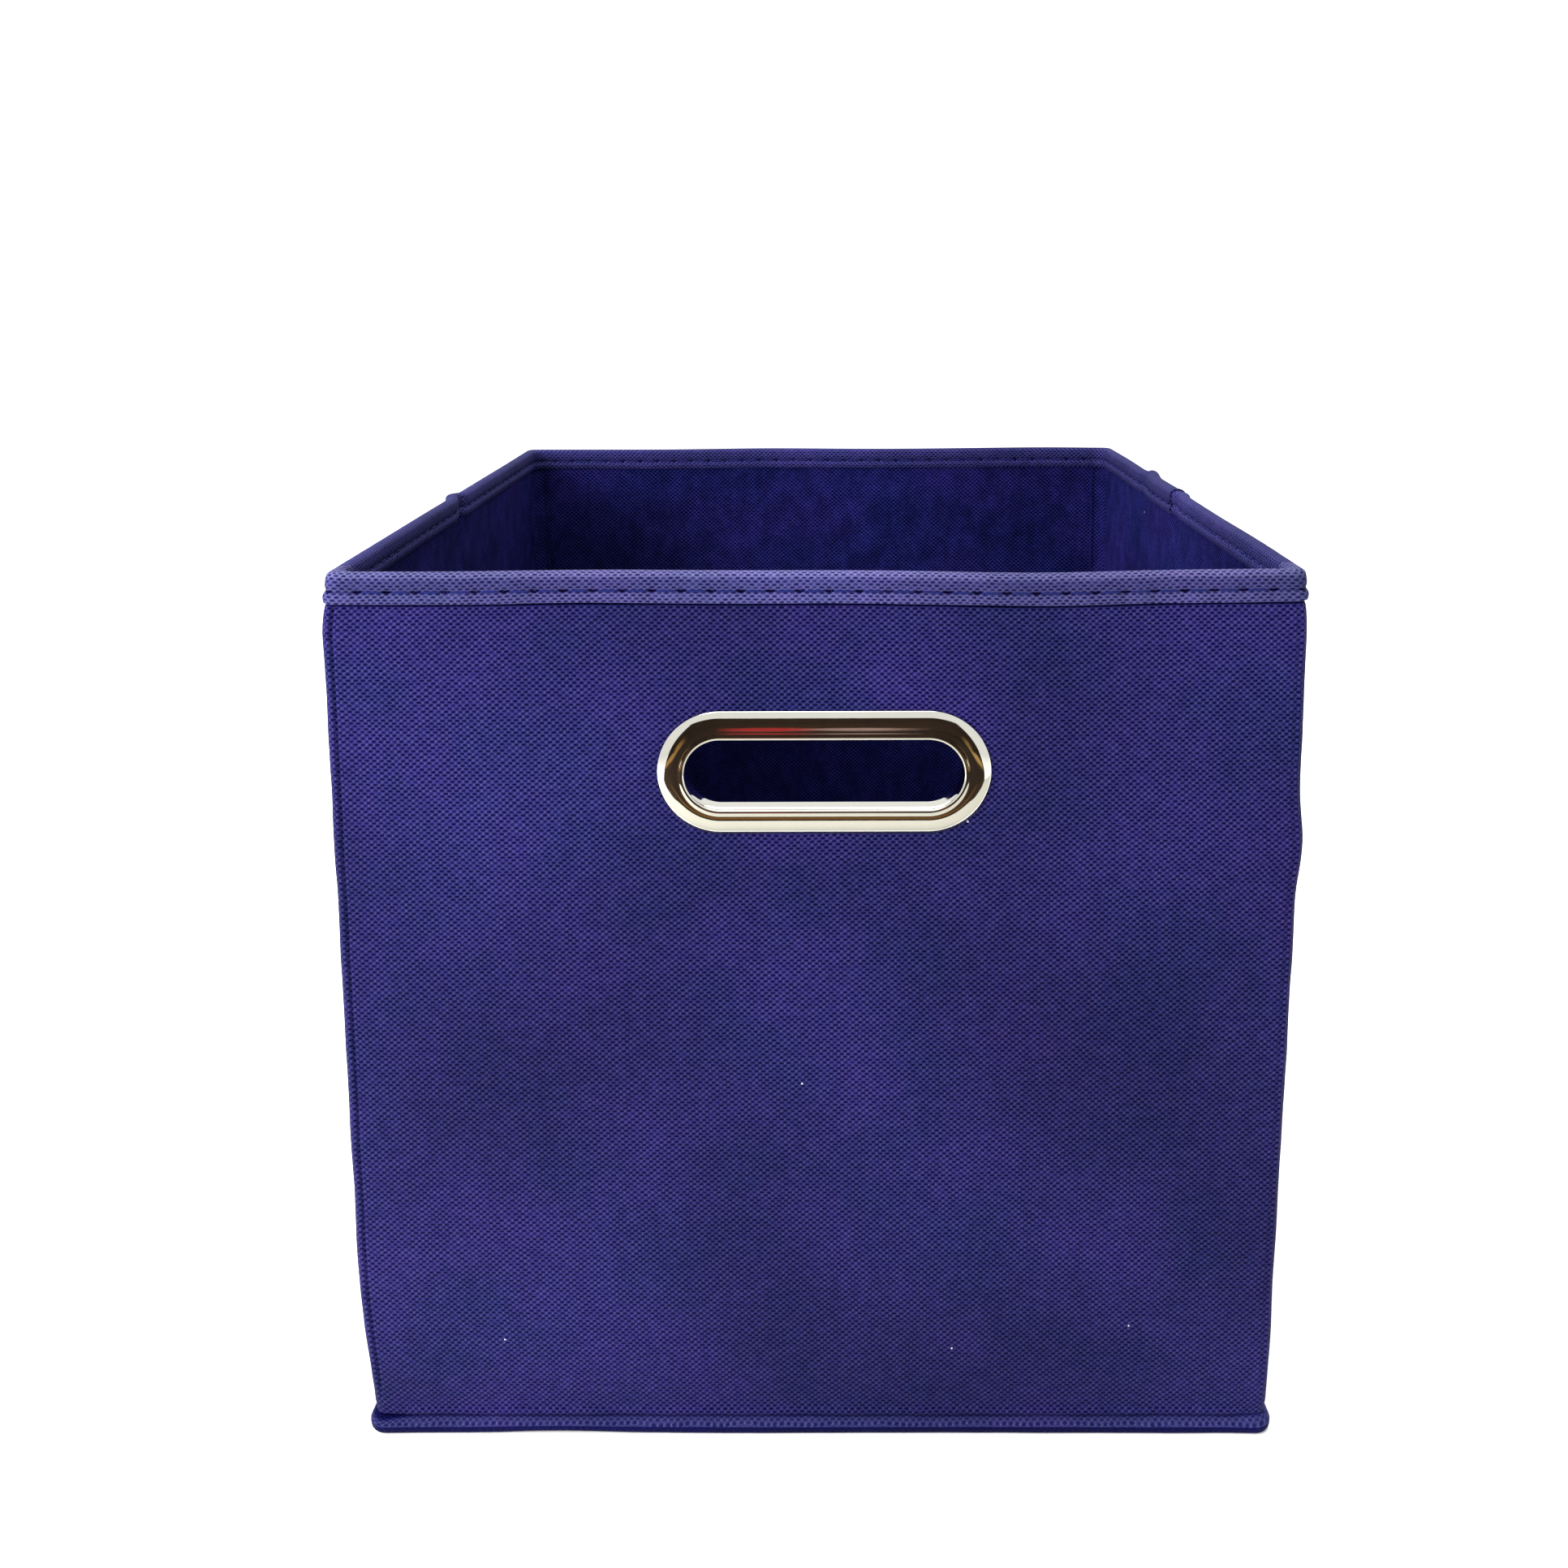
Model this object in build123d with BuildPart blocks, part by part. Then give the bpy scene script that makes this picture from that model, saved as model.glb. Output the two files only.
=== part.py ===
"""A folding fabric storage bin: boarded cloth walls, a bound rim, an oval grommet and a loose base insert.

Frame: +Z up, origin on the floor under the middle of the bin, front wall (with the grommet) towards -Y.
Every wall is a sandwich of outer cover, cardboard board and lining. The side walls are parted at mid depth,
so the bin folds flat: the halves fold inward and the front wall moves back against the back wall.
"""

from build123d import *
import os

os.makedirs("parts", exist_ok=True)

# Driving dimensions, in millimetres
WIDTH = 280.0  # across the outer covers
DEPTH = 280.0
HEIGHT = 274.0  # floor to the top of the rim
CORNER_RADIUS = 4.0  # upright corners, on the outer cover

CLOTH = 0.6  # embossed nonwoven
BOARD = 2.0  # cardboard inside a wall
TAPE = 0.7  # rim binding, folded cloth
TAPE_END = 0.6  # the rim binding's loose end, laid over its start
TAPE_DROP = 9.1  # how far the rim binding comes down the wall
WALL = CLOTH + BOARD + CLOTH

BAND_HEIGHT = 6.0  # base binding
BAND_PROUD = 1.3  # how far it stands out past the covers
BAND_WIDTH = 5.3
BAND_ROUNDING = 1.8
BAND_CORNER_RADIUS = 5.3

INSERT_SIZE = 267.0  # square base insert
INSERT_THICKNESS = 3.0
INSERT_CORNER_RADIUS = 3.0

STITCH_LENGTH = 6.6
STITCH_PITCH = 8.4
STITCH_WIDTH = 0.7
THREAD_PROUD = 0.3
STITCH_DROP = 6.3  # below the top of the rim

GROMMET_LENGTH = 96.5
GROMMET_HEIGHT = 36.4
GROMMET_PROUD = 2.0
GROMMET_ROUNDING = 1.7
OPENING_LENGTH = 79.6
OPENING_HEIGHT = 20.0
GROMMET_X = 2.4  # right of the front wall's middle
GROMMET_Z = HEIGHT - 59.5
BARREL = 0.8  # thickness of the tube through the wall
BARREL_GAP = 0.3  # between that tube and the cut edge of the wall
BACK_RING_LENGTH = 94.0
BACK_RING_HEIGHT = 34.0
BACK_RING_THICKNESS = 1.0
LIP_THICKNESS = 0.5  # the tube's end, turned over the back ring
LIP_WIDTH = 1.5

GAP = 0.3  # between pieces that move against each other
FOLD_AXIS_Y = 131.5  # the corner hinges, as far behind the middle as in front of it
CORNER_CLOTH = 6.0  # width of a board-free corner on the front and back walls
BOARD_MARGIN = 2.0  # a board ends this far inside its cloth
TAPE_END_FROM = 4.0  # the loose tape end starts this far behind the right-hand fold
TAPE_END_TO = 52.0

# Derived sizes
BEYOND = 20.0  # reaches past every wall layer
RIM_INNER = HEIGHT - TAPE  # top of the cloth and board, under the binding
FLAT = WIDTH / 2 - CORNER_CLOTH
REAR = FOLD_AXIS_Y + GAP
SIDE = FOLD_AXIS_Y - GAP
WALL_LOW = BAND_HEIGHT + GAP
STITCH_Z = HEIGHT - STITCH_DROP

# Plan rectangles (x low, x high, y low, y high) that pick a stretch of the ring of walls
LEFT = (-WIDTH / 2 - BEYOND, -WIDTH / 2 + BEYOND)
RIGHT = (WIDTH / 2 - BEYOND, WIDTH / 2 + BEYOND)
PANELS = {
    "back": (-FLAT, FLAT, REAR, DEPTH),
    "left_rear": (*LEFT, GAP, SIDE),
    "left_front": (*LEFT, -SIDE, -GAP),
    "front": (-FLAT, FLAT, -DEPTH, -REAR),
    "right_front": (*RIGHT, -SIDE, -GAP),
    "right_rear": (*RIGHT, GAP, SIDE),
}
CORNERS = {
    "back_left": (-WIDTH, -FLAT, REAR, DEPTH),
    "back_right": (FLAT, WIDTH, REAR, DEPTH),
    "front_left": (-WIDTH, -FLAT, -DEPTH, -REAR),
    "front_right": (FLAT, WIDTH, -DEPTH, -REAR),
}


def write(builder, name):
    """Label a finished piece and write its STEP file."""
    builder.part.label = name
    export_step(builder.part, f"parts/{name}.step")


def outline(inset, mode=Mode.ADD):
    """The bin's plan outline, this far inside the outer covers, in the sketch that is open."""
    radius = max(CORNER_RADIUS - inset, CLOTH)
    RectangleRounded(WIDTH - 2 * inset, DEPTH - 2 * inset, radius, mode=mode)


def pick(zone):
    """Keep only the part of the open sketch that lies in a plan rectangle."""
    x_low, x_high, y_low, y_high = zone
    with Locations(((x_low + x_high) / 2, (y_low + y_high) / 2)):
        Rectangle(x_high - x_low, y_high - y_low, mode=Mode.INTERSECT)


def ring_stretch(outer, inner, low, high, zone, mode=Mode.ADD):
    """Raise one stretch of the ring between two insets, in the part that is open."""
    with BuildSketch(Plane.XY.offset(low)) as stretch:
        outline(outer)
        outline(inner, Mode.SUBTRACT)
        pick(zone)
    extrude(stretch.sketch, amount=high - low, mode=mode)


def cut_grommet_hole():
    """Cut the grommet's hole through the front wall, in the part that is open."""
    length = OPENING_LENGTH + 2 * (BARREL + BARREL_GAP)
    height = OPENING_HEIGHT + 2 * (BARREL + BARREL_GAP)
    with BuildSketch(Plane.XZ.offset(DEPTH / 2 - WALL)) as hole:
        with Locations((GROMMET_X, GROMMET_Z)):
            SlotOverall(length, height)
    extrude(hole.sketch, amount=WALL, mode=Mode.SUBTRACT)


def board_zone(panel):
    """A panel's rectangle without the margin that is left free of board at its two upright edges."""
    x_low, x_high, y_low, y_high = PANELS[panel]
    if panel in ("front", "back"):
        return (x_low + BOARD_MARGIN, x_high - BOARD_MARGIN, y_low, y_high)
    return (x_low, x_high, y_low + BOARD_MARGIN, y_high - BOARD_MARGIN)


def low_edge(panel):
    """The back wall stands on the base binding, and the walls that move clear it."""
    return BAND_HEIGHT if panel.startswith("back") else WALL_LOW


def wall_layers(panel):
    """Cover, board and lining of one wall panel."""
    low = low_edge(panel)
    layers = {
        "cover": (0, CLOTH, PANELS[panel]),
        "board": (CLOTH, CLOTH + BOARD, board_zone(panel)),
        "lining": (CLOTH + BOARD, WALL, PANELS[panel]),
    }
    for layer, (outer, inner, zone) in layers.items():
        with BuildPart() as piece:
            ring_stretch(outer, inner, low, RIM_INNER, zone)
            if panel == "front":
                cut_grommet_hole()
        write(piece, f"{panel}_{layer}")


def corner_cloth(corner):
    """Cover and lining pressed together, round an upright corner that has no board."""
    with BuildPart() as piece:
        ring_stretch(0, 2 * CLOTH, low_edge(corner), RIM_INNER, CORNERS[corner])
    write(piece, f"{corner}_corner")


def folded_tape(name, outer, inner, top, thickness, zone):
    """Tape folded over the rim: down the outside, over the top and down the inside."""
    low = HEIGHT - TAPE_DROP
    with BuildPart() as piece:
        ring_stretch(outer - thickness, inner + thickness, low, top + thickness, zone)
        ring_stretch(outer, inner, low, top, zone, Mode.SUBTRACT)
    write(piece, name)


def rim_zone(panel):
    """The rim binding of the front and back walls goes on round their corners."""
    x_low, x_high, y_low, y_high = PANELS[panel]
    if panel in ("front", "back"):
        return (-WIDTH, WIDTH, y_low, y_high)
    return PANELS[panel]


def rim_stitching(name, outward, low, high, tape=TAPE):
    """A level row of stitches on each face of a rim, along the wall from low to high.

    outward is the wall's unit normal, and tape is how thick the binding is on each face.
    """
    half = (DEPTH if outward.Y else WIDTH) / 2
    along = Vector(1, 0, 0) if outward.Y else Vector(0, 1, 0)
    middle = along * ((low + high) / 2) + Vector(0, 0, STITCH_Z)
    count = int((high - low) // STITCH_PITCH)
    with BuildPart() as piece:
        for distance, side in ((half + tape, 1), (half - WALL - tape, -1)):
            face = Plane(origin=middle + outward * distance, x_dir=along, z_dir=outward * side)
            with BuildSketch(face) as row:
                with GridLocations(STITCH_PITCH, STITCH_PITCH, count, 1):
                    SlotOverall(STITCH_LENGTH, STITCH_WIDTH)
            extrude(row.sketch, amount=THREAD_PROUD)
    write(piece, name)


def oval_ring(depth, length, height, inner_length, inner_height, thickness):
    """An oval ring on the front wall, from this depth behind its outer face, towards the back if negative."""
    with BuildSketch(Plane.XZ.offset(DEPTH / 2 - depth)) as oval:
        with Locations((GROMMET_X, GROMMET_Z)):
            SlotOverall(length, height)
            SlotOverall(inner_length, inner_height, mode=Mode.SUBTRACT)
    extrude(oval.sketch, amount=thickness)


def grommet():
    """A domed front ring with a tube through the wall, its end turned over a flat back ring."""
    tube_length = OPENING_LENGTH + 2 * BARREL
    tube_height = OPENING_HEIGHT + 2 * BARREL
    behind = WALL + BACK_RING_THICKNESS
    lip = 2 * LIP_WIDTH
    with BuildPart() as front_ring:
        oval_ring(0, GROMMET_LENGTH, GROMMET_HEIGHT, OPENING_LENGTH, OPENING_HEIGHT, GROMMET_PROUD)
        crest = front_ring.faces().sort_by(Axis.Y)[0]
        fillet(crest.edges(), GROMMET_ROUNDING)
        oval_ring(0, tube_length, tube_height, OPENING_LENGTH, OPENING_HEIGHT, -behind)
        oval_ring(
            behind, tube_length + lip, tube_height + lip, OPENING_LENGTH, OPENING_HEIGHT, -LIP_THICKNESS
        )
    write(front_ring, "grommet_front_ring")
    with BuildPart() as back_ring:
        oval_ring(WALL, BACK_RING_LENGTH, BACK_RING_HEIGHT, tube_length, tube_height, -BACK_RING_THICKNESS)
    write(back_ring, "grommet_back_ring")


def base():
    """The cloth floor and the soft binding that joins it to the walls."""
    inner = BAND_WIDTH - BAND_PROUD
    with BuildPart() as binding:
        with BuildSketch():
            RectangleRounded(WIDTH + 2 * BAND_PROUD, DEPTH + 2 * BAND_PROUD, BAND_CORNER_RADIUS)
        extrude(amount=BAND_HEIGHT)
        rounded = binding.edges().group_by(Axis.Z)[0] + binding.edges().group_by(Axis.Z)[-1]
        fillet(rounded, BAND_ROUNDING)
        with BuildSketch():
            Rectangle(WIDTH - 2 * inner, DEPTH - 2 * inner)
        extrude(amount=BAND_HEIGHT, mode=Mode.SUBTRACT)
    write(binding, "base_binding")
    with BuildPart() as cloth:
        with BuildSketch():
            Rectangle(WIDTH - 2 * inner, DEPTH - 2 * inner)
        extrude(amount=CLOTH)
    write(cloth, "base_cloth")


def base_insert():
    """A loose board in a cloth sleeve, which lies on the cloth floor and keeps the bin square."""
    board_size = INSERT_SIZE - 2 * BOARD_MARGIN
    low = CLOTH + GAP
    with BuildPart() as cover:
        with BuildSketch(Plane.XY.offset(low)):
            RectangleRounded(INSERT_SIZE, INSERT_SIZE, INSERT_CORNER_RADIUS)
        extrude(amount=INSERT_THICKNESS)
        with BuildSketch(Plane.XY.offset(low + CLOTH)):
            Rectangle(board_size, board_size)
        extrude(amount=INSERT_THICKNESS - 2 * CLOTH, mode=Mode.SUBTRACT)
    write(cover, "insert_cover")
    with BuildPart() as board:
        with BuildSketch(Plane.XY.offset(low + CLOTH)):
            Rectangle(board_size, board_size)
        extrude(amount=INSERT_THICKNESS - 2 * CLOTH)
    write(board, "insert_board")


# Each wall's outward normal, and how far its own row of stitches runs along it
STITCHED = {
    "back": (Vector(0, 1, 0), -FLAT, FLAT),
    "front": (Vector(0, -1, 0), -FLAT, FLAT),
    "left_rear": (Vector(-1, 0, 0), GAP, SIDE),
    "left_front": (Vector(-1, 0, 0), -SIDE, -GAP),
    "right_rear": (Vector(1, 0, 0), TAPE_END_TO, SIDE),
    "right_front": (Vector(1, 0, 0), -SIDE, -GAP),
}

for wall_panel, (normal, row_low, row_high) in STITCHED.items():
    wall_layers(wall_panel)
    folded_tape(f"{wall_panel}_rim_binding", 0, WALL, RIM_INNER, TAPE, rim_zone(wall_panel))
    rim_stitching(f"{wall_panel}_rim_stitching", normal, row_low, row_high)

for upright_corner in CORNERS:
    corner_cloth(upright_corner)

# The binding's loose end lies over its start, and is stitched through with it
tape_end_zone = (*RIGHT, TAPE_END_FROM, TAPE_END_TO)
folded_tape("rim_binding_end", -TAPE, WALL + TAPE, HEIGHT, TAPE_END, tape_end_zone)
rim_stitching("tape_end_stitching", Vector(1, 0, 0), TAPE_END_FROM, TAPE_END_TO, TAPE + TAPE_END)

grommet()
base()
base_insert()
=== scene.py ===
"""Looks for the folding fabric storage bin: cloth skins, sewn binding, plated grommet, studio and camera.

Every layer of the walls is laid along one plan outline, the ring, and then settled by one shared
displacement, so the layers stay nested. Distances along the ring start at the middle of the front wall and
run to the right. The cloth's UV maps are in metres, and its materials work in millimetres.
"""

import math

import bpy
import numpy as np
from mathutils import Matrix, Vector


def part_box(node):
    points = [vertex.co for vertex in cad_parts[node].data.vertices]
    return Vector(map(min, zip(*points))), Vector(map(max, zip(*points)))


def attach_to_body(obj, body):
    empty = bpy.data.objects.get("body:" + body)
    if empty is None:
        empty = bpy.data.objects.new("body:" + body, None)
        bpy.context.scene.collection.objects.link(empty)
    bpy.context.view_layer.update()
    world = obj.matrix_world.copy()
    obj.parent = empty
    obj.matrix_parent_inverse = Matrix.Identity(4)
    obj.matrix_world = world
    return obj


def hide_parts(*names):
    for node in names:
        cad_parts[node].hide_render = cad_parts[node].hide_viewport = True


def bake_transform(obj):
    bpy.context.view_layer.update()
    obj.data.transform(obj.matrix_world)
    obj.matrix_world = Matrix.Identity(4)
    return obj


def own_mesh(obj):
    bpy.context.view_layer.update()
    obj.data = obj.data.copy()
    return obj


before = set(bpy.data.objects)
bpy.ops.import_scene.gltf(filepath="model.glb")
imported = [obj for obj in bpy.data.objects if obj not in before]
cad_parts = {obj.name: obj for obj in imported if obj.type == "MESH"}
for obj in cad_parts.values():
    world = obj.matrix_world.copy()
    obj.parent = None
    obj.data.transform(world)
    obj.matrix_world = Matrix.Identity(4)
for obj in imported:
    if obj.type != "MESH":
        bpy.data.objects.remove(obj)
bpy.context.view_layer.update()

MM = 0.001

# Sizes taken from the frame, in metres
front_low, front_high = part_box("front_cover")
HALF = -front_low.y  # middle of the bin to the outside of a cover
CLOTH = front_high.y - front_low.y
WALL_LOW = front_low.z
CLOTH_TOP = front_high.z
board_low, board_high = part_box("front_board")
BOARD = board_high.y - board_low.y
WALL = BOARD + 2 * CLOTH
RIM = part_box("front_rim_binding")[1].z
TAPE_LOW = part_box("front_rim_binding")[0].z
TAPE = RIM - CLOTH_TOP
BAND_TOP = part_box("base_binding")[1].z
BAND_PROUD = -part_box("base_binding")[0].y - HALF
ring_low, ring_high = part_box("grommet_front_ring")
back_ring_low, back_ring_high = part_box("grommet_back_ring")
end_low, end_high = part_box("rim_binding_end")
insert_low, insert_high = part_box("insert_cover")

# The ring of walls
CORNER = 4 * MM  # radius of the upright corners, on the outer cover
INNER_CORNER = 4.2 * MM  # the lining cuts across the corner, where there is no board
INNER_FLATNESS = 0.4
FLAT = HALF - CORNER
CORNER_ARC = CORNER * math.pi / 2
QUARTER = 2 * FLAT + CORNER_ARC
SIDE_END = 131 * MM  # a side wall's cloth ends this far from mid depth
BACK_END = 134 * MM
CREASE = 3 * MM  # the cloth bends within this distance of the side walls' fold

# Rim stitching
STITCH_PITCH = 8.4 * MM
STITCH_LENGTH = 6.8 * MM
STITCH_Z = RIM - 5.6 * MM
FRONT_ROW = 134 * MM  # half length of the stitching on the front and back walls

# Embossed dashes of the nonwoven cloth, in millimetres
DASH_PITCH = 2.1
DASH_ROWS = 0.92
DASH_LENGTH = 0.76  # half its length
DASH_HEIGHT = 0.30
STRAND_LENGTH = 0.80
STRAND_HEIGHT = 0.34
HOLE_PLACE = 3.75  # the needle holes' distance across the binding, from its lower edge


# ---------------------------------------------------------------- shapes


def step(value, low, high):
    """Smooth step from 0 at low to 1 at high."""
    t = np.clip((value - low) / (high - low), 0, 1)
    return t * t * (3 - 2 * t)


def hump(value, middle, width):
    """Smooth hump of height 1."""
    return np.exp(-(((value - middle) / width) ** 2))


def ripple(u, v, length, heading, seed, waves=6):
    """Soft seeded waves of about this length that mostly travel one way, from -1 to 1."""
    random = np.random.default_rng(seed)
    total = np.zeros(np.broadcast(u, v).shape)
    for _ in range(waves):
        turn = heading + random.normal(0, 0.45)
        wave = length * random.uniform(0.65, 1.5)
        phase = random.uniform(0, 2 * math.pi)
        total += np.sin((u * math.cos(turn) + v * math.sin(turn)) * 2 * math.pi / wave + phase)
    return total / waves


def corner_radius(inset):
    """Radius of the upright corners, this far inside the covers."""
    inner = step(inset, 1 * MM, 3 * MM)
    return (CORNER - inset) * (1 - inner) + INNER_CORNER * inner


def ring(distance, inset):
    """Plan position on the walls' outline, this far along it and inside the covers."""
    distance, inset = np.broadcast_arrays(distance, inset)
    side = np.floor((distance + FLAT) / QUARTER)
    along = distance - side * QUARTER
    radius = corner_radius(inset)
    flat = HALF - inset - radius
    share = np.clip((along - FLAT) / CORNER_ARC, 0, 1)
    flatness = INNER_FLATNESS * step(inset, 1 * MM, 3 * MM)
    out = np.sin(share * math.pi / 2) * (1 - flatness) + share * flatness
    back = np.cos(share * math.pi / 2) * (1 - flatness) + (1 - share) * flatness
    x = np.clip(along, -FLAT, FLAT) * flat / FLAT + radius * out
    y = -flat - radius * back
    turn = side * math.pi / 2
    return x * np.cos(turn) - y * np.sin(turn), x * np.sin(turn) + y * np.cos(turn)


def left_bulge(z):
    """How far the left wall stands out at the front corner: cinched at the base, and drawn in at the rim."""
    return (-0.9 + 3.0 * step(z, 0.003, 0.058) - 2.8 * step(z, 0.255, 0.276)) * MM


def right_bulge(z):
    """How far the right wall stands out at the front corner, with a soft dent pushed out at hand height."""
    low = -0.6 + 0.6 * step(z, 0.003, 0.036) + 1.3 * step(z, 0.036, 0.165)
    return (low + 1.6 * hump(z, 0.191, 0.012) - 2.0 * step(z, 0.256, 0.276)) * MM


def kinks(y, z):
    """Rim bumps of the side walls: (left, right) where the fold has worn them and the tape's end is sewn."""
    high = step(z, 0.236, 0.272)
    left = 1.9 * hump(y, 0, 4.5 * MM) * high
    right = 1.5 * hump(y, -1 * MM, 5 * MM) * high
    right += 1.3 * hump(y, end_high.y - 1 * MM, 9 * MM) * step(z, 0.25, 0.272)
    return left * MM, right * MM


def settle(points):
    """Move points to where slack, sagging and wearing have brought them. Every layer goes through this."""
    x, y, z = points[..., 0], points[..., 1], points[..., 2]
    left, right = np.clip(-x / HALF, 0, 1), np.clip(x / HALF, 0, 1)
    front, back = np.clip(-y / HALF, 0, 1), np.clip(y / HALF, 0, 1)
    ahead = 0.45 - 0.55 * y / HALF
    left_kink, right_kink = kinks(y, z)
    high = step(z, 0.16, RIM)
    low = 1 - step(z, 0.004, 0.022)
    belly = np.clip(np.sin(math.pi * z / RIM), 0, 1) * (1 - (x / HALF) ** 2)
    out = np.zeros_like(points)
    out[..., 0] = x - left * (left_bulge(z) * ahead + left_kink)
    out[..., 0] += right * (right_bulge(z) * ahead + right_kink)
    out[..., 1] = y - (front * 0.7 - back * 0.9) * belly * MM + (front - back) * low * 0.7 * MM
    sag = 1.2 * hump(x, 66 * MM, 34 * MM) * step(front, 0.75, 1)
    sway = 0.35 * ripple(x, y, 0.09, 0.6, 11)
    lift = 0.5 * (left * hump(y, 0, 5 * MM) + right * hump(y, end_high.y, 7 * MM))
    out[..., 2] = z + (lift + sway - sag) * high * MM
    return out


def lay(distance, inset, z):
    """Settled points this far along the ring and inside the covers, at height z."""
    x, y = ring(distance, inset)
    return settle(np.stack(np.broadcast_arrays(x, y, z), -1))


def lines(low, high, pitch, *fine):
    """Grid lines from low to high, closer together within each (from, to, pitch) stretch."""
    found = [low]
    while high - found[-1] > 1.4 * closest(found[-1], pitch, fine):
        found.append(found[-1] + closest(found[-1], pitch, fine))
    return np.array([*found, high])


def closest(place, pitch, fine):
    """The grid pitch wanted at a place."""
    return min([pitch] + [part[2] for part in fine if part[0] - part[2] <= place < part[1]])


# ---------------------------------------------------------------- meshes

SHARP = 62  # faces that meet at more than this angle keep their edge, in degrees


def quad_mesh(name, points, quads, corner_uv, material):
    """A smooth-shaded object made of quads, with creases kept sharp."""
    mesh = bpy.data.meshes.new(name)
    mesh.vertices.add(len(points))
    mesh.vertices.foreach_set("co", np.ascontiguousarray(points, np.float32).ravel())
    mesh.loops.add(quads.size)
    mesh.loops.foreach_set("vertex_index", np.ascontiguousarray(quads, np.int32).ravel())
    mesh.polygons.add(len(quads))
    mesh.polygons.foreach_set("loop_start", np.arange(0, quads.size, 4, dtype=np.int32))
    mesh.update(calc_edges=True)
    layer = mesh.uv_layers.new(name="UVMap")
    layer.data.foreach_set("uv", np.ascontiguousarray(corner_uv, np.float32).ravel())
    mesh.shade_smooth()
    mesh.set_sharp_from_angle(angle=math.radians(SHARP))
    mesh.materials.append(material)
    made = bpy.data.objects.new(name, mesh)
    bpy.context.scene.collection.objects.link(made)
    return made


def thick_sheet(name, outer, inner, uv, material, keep=None):
    """A closed sheet between two grids of points, without the cells that aren't kept."""
    rows, columns = outer.shape[:2]
    count = rows * columns
    index = np.arange(count).reshape(rows, columns)
    cells = np.ones((rows - 1, columns - 1), bool) if keep is None else keep
    corners = [index[:-1, :-1], index[1:, :-1], index[1:, 1:], index[:-1, 1:]]
    a, b, c, d = [corner[cells] for corner in corners]
    quads = [np.stack([a, b, c, d], -1), np.stack([d, c, b, a], -1) + count]
    padded = np.pad(cells, 1)
    neighbours = [padded[1:-1, :-2], padded[2:, 1:-1], padded[1:-1, 2:], padded[:-2, 1:-1]]
    for k, neighbour in enumerate(neighbours):
        rim = cells & ~neighbour
        start, end = corners[k][rim], corners[(k + 1) % 4][rim]
        quads.append(np.stack([end, start, start + count, end + count], -1))
    quads = np.concatenate(quads)
    points = np.concatenate([outer.reshape(-1, 3), inner.reshape(-1, 3)])
    flat_uv = np.concatenate([uv.reshape(-1, 2)] * 2)
    used, renumbered = np.unique(quads, return_inverse=True)
    return quad_mesh(name, points[used], renumbered.reshape(-1, 4), flat_uv[quads], material)


def closed_tube(name, grid, u, v, material, flip=False):
    """A tube whose grid of points closes on itself both ways. u and v have one value more than the grid."""
    rows, columns = grid.shape[:2]
    i, j = np.meshgrid(np.arange(rows), np.arange(columns), indexing="ij")
    shifts = [(0, 0), (1, 0), (1, 1), (0, 1)]
    if flip:
        shifts = shifts[::-1]
    quads = [((i + p) % rows) * columns + (j + q) % columns for p, q in shifts]
    corner_uv = [np.stack([u[i + p], v[j + q]], -1) for p, q in shifts]
    quads = np.stack([quad.ravel() for quad in quads], -1)
    corner_uv = np.stack([part.reshape(-1, 2) for part in corner_uv], 1)
    return quad_mesh(name, grid.reshape(-1, 3), quads, corner_uv, material)


def capsules(name, grid, material):
    """Many small closed tubes of eight sides in one mesh. The grid is (tube, along, round, xyz)."""
    tubes, along, around = grid.shape[:3]
    t, i, j = np.meshgrid(np.arange(tubes), np.arange(along - 1), np.arange(around), indexing="ij")
    shifts = [(0, 0), (1, 0), (1, 1), (0, 1)]
    quads = [(t * along + i + p) * around + (j + q) % around for p, q in shifts]
    quads = np.stack([quad.ravel() for quad in quads], -1)
    uv = np.stack([np.stack([(i + p) / along, (j + q) / around], -1).reshape(-1, 2) for p, q in shifts], 1)
    fan = np.array([[0, 7, 2, 1], [7, 6, 3, 2], [6, 5, 4, 3]])
    first = np.arange(tubes)[:, None, None] * along * around
    caps = [(first + fan).reshape(-1, 4), (first + (along - 1) * around + fan[:, ::-1]).reshape(-1, 4)]
    quads = np.concatenate([quads, *caps])
    uv = np.concatenate([uv, np.zeros((len(caps[0]) * 2, 4, 2))])
    return quad_mesh(name, grid.reshape(-1, 3), quads, uv, material)


# ---------------------------------------------------------------- materials


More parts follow.
